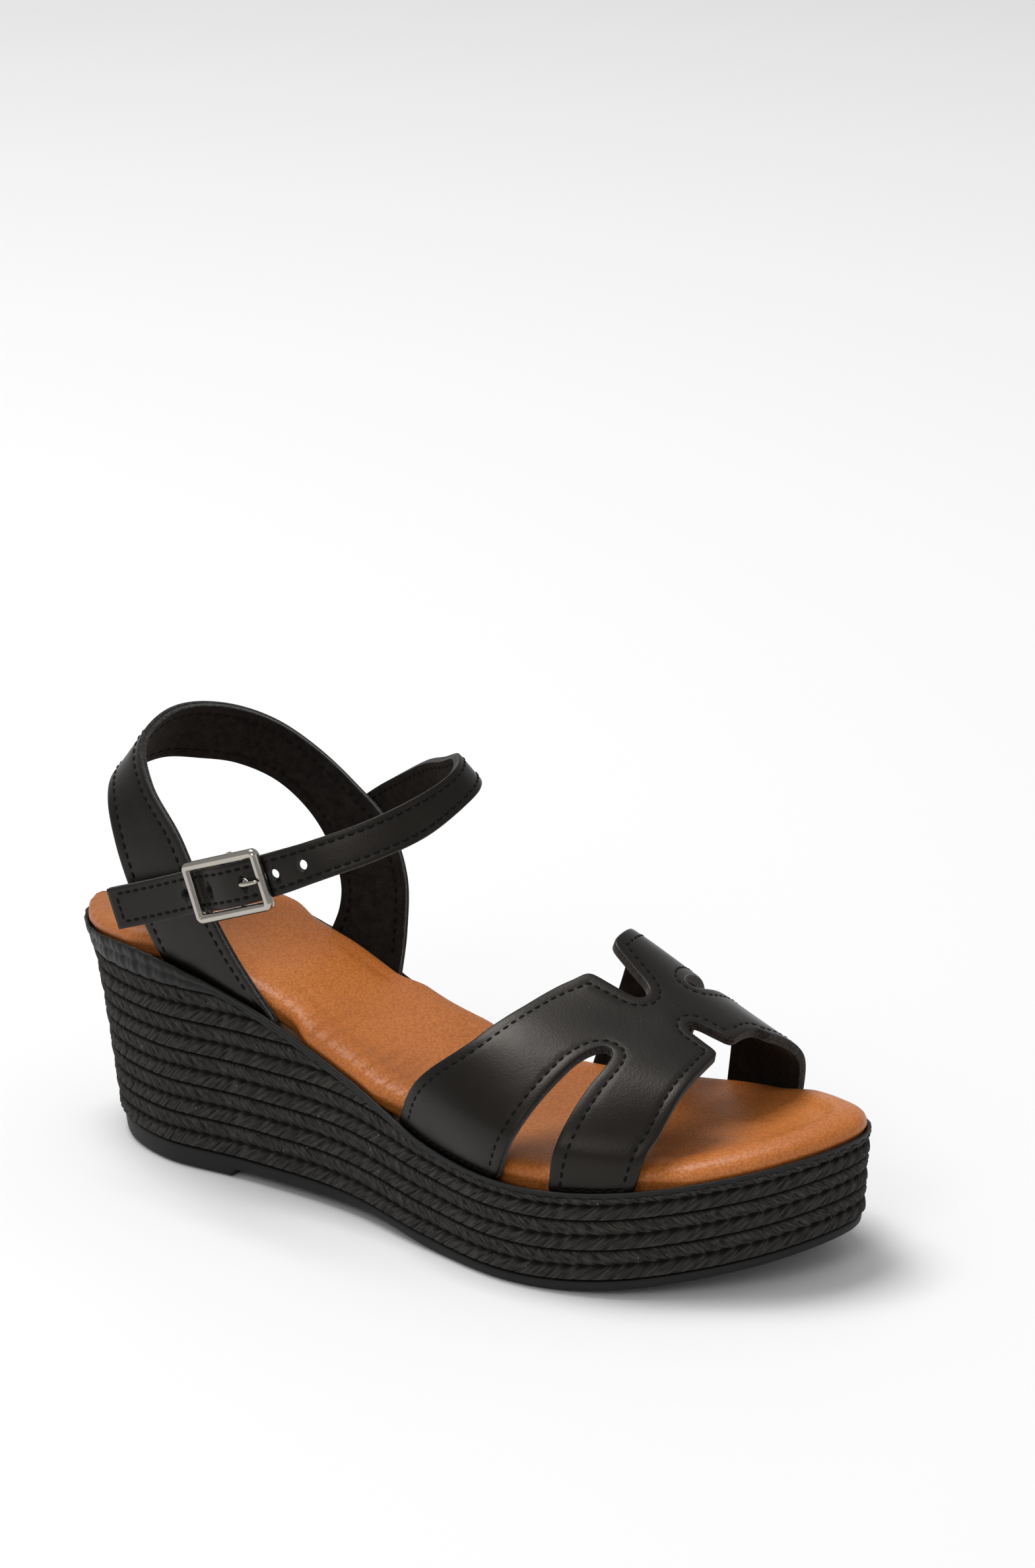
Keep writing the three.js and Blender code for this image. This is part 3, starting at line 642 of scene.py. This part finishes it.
def vamp_layer(name, low, high, materials, outward):
    offsets = (0.16, 0.5, 1.2, 2.4, 3.0, 3.6)
    rings = [moved[fits] for moved, fits in (offset_in(vamp_edge, d) for d in offsets)]
    grid = np.stack(np.meshgrid(np.arange(0, ACROSS, 1.6), np.arange(124, 216, 1.6)), -1).reshape(-1, 2)
    near = np.linalg.norm(grid[:, None] - vamp_edge[None], axis=2).min(1)
    grid = grid[inside(grid, vamp_edge) & (near > 4.3)]
    spots = np.vstack([vamp_edge, *rings, grid])
    count = len(vamp_edge)
    border = [(k, (k + 1) % count) for k in range(count)]
    found = geometry.delaunay_2d_cdt([Vector(p) for p in spots], border, [], 1, 1e-4)
    flat = np.array([tuple(v) for v in found[0]])
    gap = np.array([np.linalg.norm(vamp_edge - p, axis=1).min() for p in flat])
    gap[:count] = 0
    bm = bmesh.new()
    number = bm.verts.layers.int.new("number")
    verts = [bm.verts.new((*p, 0)) for p in flat]
    for face in found[2]:
        bm.faces.new([verts[k] for k in face])
    for k, v in enumerate(verts):
        v[number] = k
    lower_faces = list(bm.faces)
    raised = bmesh.ops.extrude_face_region(bm, geom=lower_faces)["geom"]
    upper = [g for g in raised if isinstance(g, bmesh.types.BMVert)]
    upper_set = set(upper)
    soft = np.interp(gap, (0, *offsets, 5), (0.32, 0.12, 0.04, 0.0, 0.02, 0.14, 0.02, 0.0))
    face_side, back_side = (high, low) if outward else (low, high)
    sign = 1 if outward else -1
    shown, _ = on_vamp(flat, face_side - sign * soft)
    hidden, _ = on_vamp(flat, np.full(len(flat), back_side))
    shown, hidden = in_frame(shown), in_frame(hidden)
    for v in bm.verts:
        v.co = (shown if v in upper_set else hidden)[v[number]]
    for face in bm.faces:
        tops = sum(v in upper_set for v in face.verts)
        face.material_index = 1 if 0 < tops < len(face.verts) else 0
        face.smooth = True
    for edge in bm.edges:
        kinds = {face.material_index for face in edge.link_faces}
        if len(kinds) == 2 and all(v not in upper_set for v in edge.verts):
            edge.smooth = False
    bmesh.ops.recalc_face_normals(bm, faces=bm.faces)
    return finish_mesh(name, bm, materials)


VAMP_LAYER = 1.45
place_piece(vamp_layer("vamp_leather", 0.04, VAMP_LAYER, [leather.material, raw_edge.material], True),
            "shoe", "black_leather", "vamp_outer")
place_piece(vamp_layer("vamp_suede", -VAMP_LAYER, -0.02, [suede.material, raw_edge.material], False),
            "shoe", "suede", "vamp_lining")


THREAD_BREADTH, THREAD_HEIGHT = 1.0, 0.84


def sew(name, points, normals, pitch=2.8, stitch=2.1):
    """A run of sunk stitches along points in millimetres, each a little pillow of thread."""
    points, normals = np.asarray(points, float), np.asarray(normals, float)
    walked = np.append(0, np.cumsum(np.linalg.norm(np.diff(points, axis=0), axis=1)))
    bm = bmesh.new()
    for s in np.arange(pitch / 2, walked[-1] - pitch / 3, pitch):
        ends = [np.array([np.interp(s + d, walked, points[:, n]) for n in range(3)]) for d in (-0.5, 0.5)]
        normal = Vector([np.interp(s, walked, normals[:, n]) for n in range(3)]).normalized()
        along = Vector(ends[1] - ends[0]).normalized()
        side = normal.cross(along).normalized()
        turn = Matrix((along, side, normal)).transposed().to_4x4()
        centre = Vector(in_frame((ends[0] + ends[1]) / 2))
        scale = Matrix.Diagonal(Vector((stitch, THREAD_BREADTH, THREAD_HEIGHT)) * (TO_METRES / 2)).to_4x4()
        bmesh.ops.create_uvsphere(bm, u_segments=8, v_segments=6, radius=1,
                                  matrix=Matrix.Translation(centre) @ turn @ scale)
    for face in bm.faces:
        face.smooth = True
    return finish_mesh(name, bm, [thread.material])


VAMP_STITCH = 1.22
seam, fits = offset_in(vamp_edge, SEAM_IN)
starts = np.flatnonzero(fits & ~np.roll(fits, 1))
run_number = 0
for start in starts:
    run = []
    k = start
    while fits[k % len(seam)] and len(run) < len(seam):
        run.append(seam[k % len(seam)])
        k += 1
    run = np.array(run)
    if len(run) < 6:
        continue
    place, normal = on_vamp(run, np.full(len(run), VAMP_STITCH))
    run_number += 1
    place_piece(sew(f"vamp_stitching_{run_number}", place, normal), "shoe", "black_leather")

# ---- Heel strap --------------------------------------------------------------------------------------
# A strap of leather and suede, cut in a curve and stitched along both edges. It rises from the outer
# side, passes round the back of the heel and comes down the inner side in front of the ankle.
LAYER_FACE, LAYER_BACK, STITCH_LIFT = 1.25, 0.02, 1.14


def strap_net(first, second, us, profile):
    """A strap's net: at each u, a closed section given as (edge, inset or share, height off the middle)."""
    a, b = first(us), second(us)
    across = b - a
    width = np.linalg.norm(across, axis=1, keepdims=True)
    step = 2e-3
    columns = []
    for edge, reach, lift in profile:
        share = {"a": reach / width, "b": 1 - reach / width, "m": np.full_like(width, reach)}[edge]
        low, high = np.clip(us - step, 0, 1), np.clip(us + step, 0, 1)
        ahead = first(high) * (1 - share) + second(high) * share
        along = ahead - (first(low) * (1 - share) + second(low) * share)
        normal = np.cross(along, across)
        normal /= np.linalg.norm(normal, axis=1, keepdims=True)
        columns.append(a + across * share + normal * lift)
    return np.stack(columns, axis=1)


def layer_profile(low, high, seam_in, outward):
    """A leather layer's section: a soft outer face with a groove at each seam, and a flat hidden face."""
    face, back, sign = (high, low, 1) if outward else (low, high, -1)
    edge = [(0.0, 0.3), (0.1, 0.1), (0.35, 0.03), (1.0, 0.0), (seam_in - 0.55, 0.02), (seam_in, 0.08),
            (seam_in + 0.55, 0.02)]
    half = [("a", inset, face - sign * drop) for inset, drop in edge]
    other = [("b", inset, face - sign * drop) for inset, drop in reversed(edge)]
    ring = half + [("m", share, face) for share in (0.4, 0.6)] + other
    ring += [("b", 0.0, back), ("m", 0.5, back), ("a", 0.0, back)]
    return ring + ring[:1]


def raw_sides(columns):
    """Paints a strap's cut sides, which are the first and last steps of its section."""
    cut = {0, columns - 6, columns - 5, columns - 2}
    return lambda row, column: 1 if column in cut else 0


def strap_layer(name, first, second, steps, low, high, seam_in, outward, finishes):
    profile = layer_profile(low, high, seam_in, outward)
    us = np.linspace(0, 1, steps)
    net = strap_net(first, second, us, profile)
    return lay_net(name, net, finishes, paint=raw_sides(len(profile)), close_ends=True)


def seam_line(first, second, us, inset_first, lift):
    profile = [("a", inset_first, lift) if inset_first > 0 else ("b", -inset_first, lift),
               ("a", inset_first, lift + 1) if inset_first > 0 else ("b", -inset_first, lift + 1)]
    net = strap_net(first, second, us, profile)
    return net[:, 0], net[:, 1] - net[:, 0]


heel_upper = line_through([(83, -28, 47.5), (71, -29.7, 64), (62, -31, 80), (53, -30, 96),
                           (41.5, -26.5, 107.5), (33, -18, 116), (31, -5, 120.5), (33, 6, 121),
                           (39.5, 17, 118.5), (48, 25, 113.5), (58, 30.5, 105.5), (69, 32, 97),
                           (80, 32, 87.5), (87.5, 29.5, 74), (90, 25.5, 59), (90, 22, 44.7)])
heel_lower = line_through([(46, -27, 57.8), (42, -28.7, 66), (37, -30, 78), (32, -29.5, 90),
                           (26.5, -25, 99.5), (21, -15, 103.5), (19.5, -4, 104), (22, 6, 104.5),
                           (28, 14, 103), (36, 21, 101), (46, 26.5, 96), (56, 28.5, 88), (63, 28.5, 79),
                           (67.5, 27.5, 69), (68, 26, 62), (65, 23.9, 52.5)])
place_piece(strap_layer("heel_strap_leather", heel_upper, heel_lower, 260, LAYER_BACK, LAYER_FACE, SEAM_IN,
                        True, [leather.material, raw_edge.material]),
            "shoe", "black_leather", "heel_strap_outer")
place_piece(strap_layer("heel_strap_suede", heel_upper, heel_lower, 260, -LAYER_FACE, -LAYER_BACK, SEAM_IN,
                        False, [suede.material, raw_edge.material]), "shoe", "suede", "heel_strap_lining")
for side, inset in (("front", SEAM_IN), ("rear", -SEAM_IN)):
    for face, lift in (("outside", STITCH_LIFT), ("inside", -STITCH_LIFT)):
        us = np.linspace(0.03, 0.975, 400)
        line, normals = seam_line(heel_upper, heel_lower, us, inset, lift)
        place_piece(sew(f"heel_stitching_{side}_{face}", line, normals if lift > 0 else -normals),
                    "shoe", "black_leather")

# ---- Buckle tab --------------------------------------------------------------------------------------
# A narrow leather tab sewn flat to the outside of the heel strap. It loops round the buckle's centre
# bar. The slit that would let the prong through isn't cut in this piece.
buckle_turn = Matrix.Rotation(math.radians(-20), 4, "Y") @ Matrix.Rotation(math.pi / 2, 4, "X")
buckle_place = Matrix.Translation((75.7, -34.9, 88.4)) @ buckle_turn


def on_buckle(points):
    """Places in the buckle's own frame (along the strap, up the bar, outwards) as places in the shoe."""
    turn = np.array(buckle_place)
    return np.asarray(points, float) @ turn[:3, :3].T + turn[:3, 3]


TAB_HALF = 5.25
tab_path = [(-34, -1.7), (-20, -1.7), (-9, -1.7), (-3, -1.75), (0, -1.6), (1.2, -1.1), (1.6, 0), (1.2, 1.1),
            (0, 1.6), (-2.5, 1.4), (-5, 0.2), (-8, -0.35)]
tab_up, tab_down = (line_through(on_buckle([(x, y, z) for x, z in tab_path])) for y in (TAB_HALF, -TAB_HALF))


def tab_strip():
    """The tab in one strip, narrowed to a rounded sewn end."""
    profile = [("a", 0.0, -0.3), ("a", 0.0, 0.3), ("a", 0.2, 0.5), ("a", 1.2, 0.5), ("m", 0.35, 0.52),
               ("m", 0.5, 0.52), ("m", 0.65, 0.52), ("b", 1.2, 0.5), ("b", 0.2, 0.5), ("b", 0.0, 0.3),
               ("b", 0.0, -0.3), ("m", 0.5, -0.5)]
    us = np.r_[np.linspace(0, 0.06, 8), np.linspace(0.07, 1, 80)]
    net = strap_net(tab_up, tab_down, us, profile + profile[:1])
    middle = net.mean(axis=1, keepdims=True)
    narrow = np.sqrt(np.clip(1 - (1 - np.clip(us / 0.05, 0.02, 1)) ** 2, 0.05, 1))[:, None, None]
    net = middle + (net - middle) * narrow
    return lay_net("buckle_tab_leather", net, [leather.material, raw_edge.material],
                   paint=lambda row, column: 1 if column in (0, 9) else 0, close_ends=True)


place_piece(tab_strip(), "shoe", "black_leather", "buckle_tab")
for side, y in (("upper", 3.4), ("lower", -3.4)):
    places = np.linspace(-31, -10, 40)
    line = on_buckle([(x, y, -1.16) for x in places])
    normals = on_buckle([(x, y, 0) for x in places]) - line
    place_piece(sew(f"tab_stitching_{side}", line, normals), "shoe", "black_leather")

# ---- Buckle ------------------------------------------------------------------------------------------
# A nickel-plated cast rectangle with bevelled bars. Lugs at the back of its two long bars hold the
# centre bar, which the tab holds to the shoe, so that the strap passes between frame and centre bar.
nickel = Finish("nickel_plate", Metallic=1.0)
nickel.feed(Base_Color=nickel.blend(nickel.noise(90), (0.40, 0.37, 0.33), (0.52, 0.49, 0.44)),
            Roughness=nickel.ramp(nickel.noise(1.0, 4, nickel.node("ShaderNodeMapping", inputs={
                0: nickel.place(), "Scale": (300, 300, 2400)})), (0.3, 0.10), (0.75, 0.24)),
            Normal=nickel.bump(nickel.noise(260, 2), 0.05, 0.25))


FRAME_LENGTH, FRAME_HEIGHT, BAR_HALF, STANDOFF = 26.5, 17.5, 1.3, 3.6


def buckle_ring():
    """The frame's net: its bar's section, with bevelled edges, carried round a rounded rectangle."""
    half_w, half_h, corner = FRAME_LENGTH / 2 - BAR_HALF, FRAME_HEIGHT / 2 - BAR_HALF, 0.9
    path = []
    for cx, cy, turn in ((1, 1, 0), (-1, 1, 90), (-1, -1, 180), (1, -1, 270)):
        for angle in np.radians(np.linspace(turn, turn + 90, 7)):
            path.append((cx * (half_w - corner) + corner * math.cos(angle),
                         cy * (half_h - corner) + corner * math.sin(angle), math.cos(angle), math.sin(angle)))
    path = np.array(path)
    section = [(-1.3, 0.0), (-1.3, 1.2), (-1.15, 1.55), (-0.55, 2.1), (-0.3, 2.2), (0.3, 2.2), (0.55, 2.1),
               (1.15, 1.55), (1.3, 1.2), (1.3, 0.0), (0.9, -0.05), (-0.9, -0.05), (-1.3, 0.0)]
    net = np.stack([np.column_stack([path[:, 0] + path[:, 2] * out, path[:, 1] + path[:, 3] * out,
                                     np.full(len(path), STANDOFF + up)]) for out, up in section], axis=1)
    net = np.concatenate([net, net[:1]], axis=0)
    return on_buckle(net.reshape(-1, 3)).reshape(net.shape)


def rod_net(path, radius, sides=14):
    """The net of a round wire bent along a path."""
    path = np.asarray(path, float)
    along = np.gradient(path, axis=0)
    along /= np.linalg.norm(along, axis=1, keepdims=True)
    across = np.cross(along, np.where(np.abs(along[:, 1:2]) < 0.8, (0.0, 1.0, 0.0), (1.0, 0.0, 0.0)))
    across /= np.linalg.norm(across, axis=1, keepdims=True)
    up = np.cross(along, across)
    turn = np.linspace(0, 2 * math.pi, sides + 1)[None, :, None]
    radius = np.broadcast_to(np.asarray(radius, float).reshape(-1, 1, 1), (len(path), 1, 1))
    net = path[:, None] + radius * (np.cos(turn) * across[:, None] + np.sin(turn) * up[:, None])
    return on_buckle(net.reshape(-1, 3)).reshape(net.shape)


buckle = place_piece(lay_net("buckle_ring", buckle_ring(), [nickel.material]), "buckle", "nickel",
                     "buckle_frame")
bevel = buckle.modifiers.new("soft_edges", "BEVEL")
bevel.width, bevel.segments = 0.18 * TO_METRES, 2
bevel.limit_method, bevel.angle_limit = "ANGLE", math.radians(35)
bar_line = [(0, y, 0) for y in np.linspace(-8.2, 8.2, 24)]
bar = lay_net("buckle_bar", rod_net(bar_line, 0.9), [nickel.material], close_ends=True)
place_piece(bar, "buckle", "nickel")
for side, y in (("upper", 7.45), ("lower", -7.45)):
    lug = lay_net(f"buckle_lug_{side}", rod_net([(0, y, z) for z in np.linspace(-0.9, 4.2, 12)], 1.0),
                  [nickel.material], close_ends=True)
    place_piece(lug, "buckle", "nickel")

# ---- Prong -------------------------------------------------------------------------------------------
# A bent nickel wire that turns on the centre bar, goes up through a hole of the strap and lies across
# the frame's front bar.
prong_line = line_through([(1.2, 0, 1.3), (3.2, 0, 1.3), (4.4, 0, 2.2), (4.8, 0, 4.2), (6, 0, 6.1), (9, 0, 7),
                           (12.3, 0, 6.8)])(np.linspace(0, 1, 60))
CURL_RADIUS = 1.75
curl = [(CURL_RADIUS * math.cos(a), 0, CURL_RADIUS * math.sin(a))
        for a in np.radians(np.linspace(40, 395, 40))]
thick = np.interp(np.linspace(0, 1, 60), (0, 0.75, 0.97, 1), (0.65, 0.72, 0.55, 0.2))
place_piece(lay_net("prong_wire", rod_net(prong_line, thick), [nickel.material], close_ends=True),
            "prong", "nickel", "buckle_prong")
place_piece(lay_net("prong_loop", rod_net(curl, 0.6), [nickel.material], close_ends=True), "prong", "nickel")

# ---- Ankle strap -------------------------------------------------------------------------------------
# A narrow strap of leather on suede, stitched along both edges and across its square tip. It is sewn
# to the heel strap's inner branch, passes round the front of the ankle and through the buckle.
ankle_lower = line_through([(37, -35.5, 68), (51, -35.3, 73), (64, -35.8, 78), (78, -38.9, 83),
                            (91, -35.9, 88), (104, -32, 94), (115, -24.5, 99), (123.5, -15, 104),
                            (127, -5, 108.5), (127, 5, 111.5), (121.5, 14, 111.5), (112, 21, 107.5),
                            (103, 27, 101), (91, 32, 93.5), (80, 35, 86), (70, 34.8, 79)])
ankle_upper = line_through([(33, -35.5, 79), (47, -35.3, 84), (60, -35.8, 89), (74, -38.9, 94),
                            (87, -35.9, 99), (98.5, -31, 103.5), (109, -24, 108), (117, -15, 112.5),
                            (120.5, -5, 115.5), (121, 3, 118), (116, 11.5, 118.5), (107.5, 18, 114.5),
                            (98, 24.5, 110.5), (86, 30.5, 103.5), (75, 35, 96.5), (65, 35.5, 89)])
ANKLE_SEAM = 1.9
HOLE_RADIUS = 1.45
TIP_SEAM = 0.012
HOLES = (0.123, 0.169, 0.225, 0.268, 0.308)


def punched(piece):
    """Cuts the five holes through a strap layer with a round punch."""
    bm = bmesh.new()
    for u in HOLES:
        section = strap_net(ankle_lower, ankle_upper, np.array([u]), [("m", 0.5, -4), ("m", 0.5, 4)])[0]
        low, high = (Vector(in_frame(p)) for p in section)
        turn = (high - low).to_track_quat("Z", "Y").to_matrix().to_4x4()
        bmesh.ops.create_cone(bm, cap_ends=True, segments=28, radius1=HOLE_RADIUS * TO_METRES,
                              radius2=HOLE_RADIUS * TO_METRES, depth=(high - low).length,
                              matrix=Matrix.Translation((low + high) / 2) @ turn)
    punch = finish_mesh("hole_punch", bm, [raw_edge.material])
    cut = piece.modifiers.new("holes", "BOOLEAN")
    cut.operation, cut.object, cut.solver = "DIFFERENCE", punch, "EXACT"
    cut.material_mode = "TRANSFER"
    bpy.context.view_layer.update()
    piece.data = bpy.data.meshes.new_from_object(piece.evaluated_get(bpy.context.evaluated_depsgraph_get()))
    piece.modifiers.clear()
    bpy.data.objects.remove(punch)
    return piece


def sewn_end_bends(piece, slot, *nodes):
    """Bakes the piece's placing into its mesh and hides the model's parts that it stands for."""
    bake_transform(piece)
    if nodes:
        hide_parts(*nodes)


for name, low, high, outward, finishes, slot, node in (
        ("ankle_strap_leather", LAYER_BACK, LAYER_FACE, True, [leather.material, raw_edge.material],
         "black_leather", "ankle_strap_outer"),
        ("ankle_strap_suede", -LAYER_FACE, -LAYER_BACK, False, [suede.material, raw_edge.material], "suede",
         "ankle_strap_lining")):
    layer = strap_layer(name, ankle_lower, ankle_upper, 240, low, high, ANKLE_SEAM, outward, finishes)
    sewn_end_bends(punched(layer), slot, node)

for side, inset in (("lower", ANKLE_SEAM), ("upper", -ANKLE_SEAM)):
    for face, lift in (("outside", STITCH_LIFT), ("inside", -STITCH_LIFT)):
        line, normals = seam_line(ankle_lower, ankle_upper, np.linspace(TIP_SEAM, 0.985, 400), inset, lift)
        sewn_end_bends(sew(f"ankle_stitching_{side}_{face}", line, normals if lift > 0 else -normals),
                       "black_leather")
tip, tip_up = (strap_net(ankle_lower, ankle_upper, np.array([TIP_SEAM]),
                         [("m", share, height) for share in np.linspace(0.2, 0.8, 20)])[0]
               for height in (STITCH_LIFT, STITCH_LIFT + 1))
sewn_end_bends(sew("ankle_stitching_tip", tip, tip_up - tip, pitch=2.2), "black_leather")

# ---- Studio ------------------------------------------------------------------------------------------
# A pale floor under soft boxes, and the camera well back, above the outer front quarter.
floor_look = Finish("studio_floor", Roughness=0.6)
floor_look.surface.inputs["Base Color"].default_value = (0.95, 0.95, 0.955, 1)
floor_bm = bmesh.new()
bmesh.ops.create_grid(floor_bm, x_segments=1, y_segments=1, size=6)
floor = finish_mesh("studio_floor", floor_bm, [floor_look.material])
floor.location.z = -0.0002

world = bpy.data.worlds.new("studio")
bpy.context.scene.world = world
world.use_nodes = True
world.node_tree.nodes["Background"].inputs["Color"].default_value = (1, 1, 1, 1)
world.node_tree.nodes["Background"].inputs["Strength"].default_value = 0.40
target = Vector((0.0, 0.0, 0.05))
for name, where, size, power in (("over", (-1.0, 0.1, 2.8), 1.5, 62), ("key", (0.4, -2.2, 1.5), 1.0, 8.5),
                                 ("fill", (2.2, -0.6, 1.2), 0.9, 2)):
    lamp = bpy.data.lights.new(name, "AREA")
    lamp.shape, lamp.size, lamp.energy = "SQUARE", size, power
    light = bpy.data.objects.new(name, lamp)
    bpy.context.scene.collection.objects.link(light)
    light.location = where
    light.rotation_euler = (target - Vector(where)).to_track_quat("-Z", "Y").to_euler()

AZIMUTH, ELEVATION, DISTANCE = math.radians(32.47), math.radians(20.166), 1.52005
back = Vector((math.sin(AZIMUTH) * math.cos(ELEVATION), -math.cos(AZIMUTH) * math.cos(ELEVATION),
               math.sin(ELEVATION)))
aim = Vector(in_frame((112.066, 48.99, 35)))
lens = bpy.data.cameras.new("camera")
lens.lens, lens.sensor_width, lens.shift_y = 123.70, 36, 0.1393
lens.clip_start, lens.clip_end = 0.05, 30
camera = bpy.data.objects.new("camera", lens)
bpy.context.scene.collection.objects.link(camera)
camera.location = aim + back * DISTANCE
camera.rotation_euler = (-back).to_track_quat("-Z", "Y").to_euler()
bpy.context.scene.camera = camera
bpy.context.scene.view_settings.view_transform = "Standard"
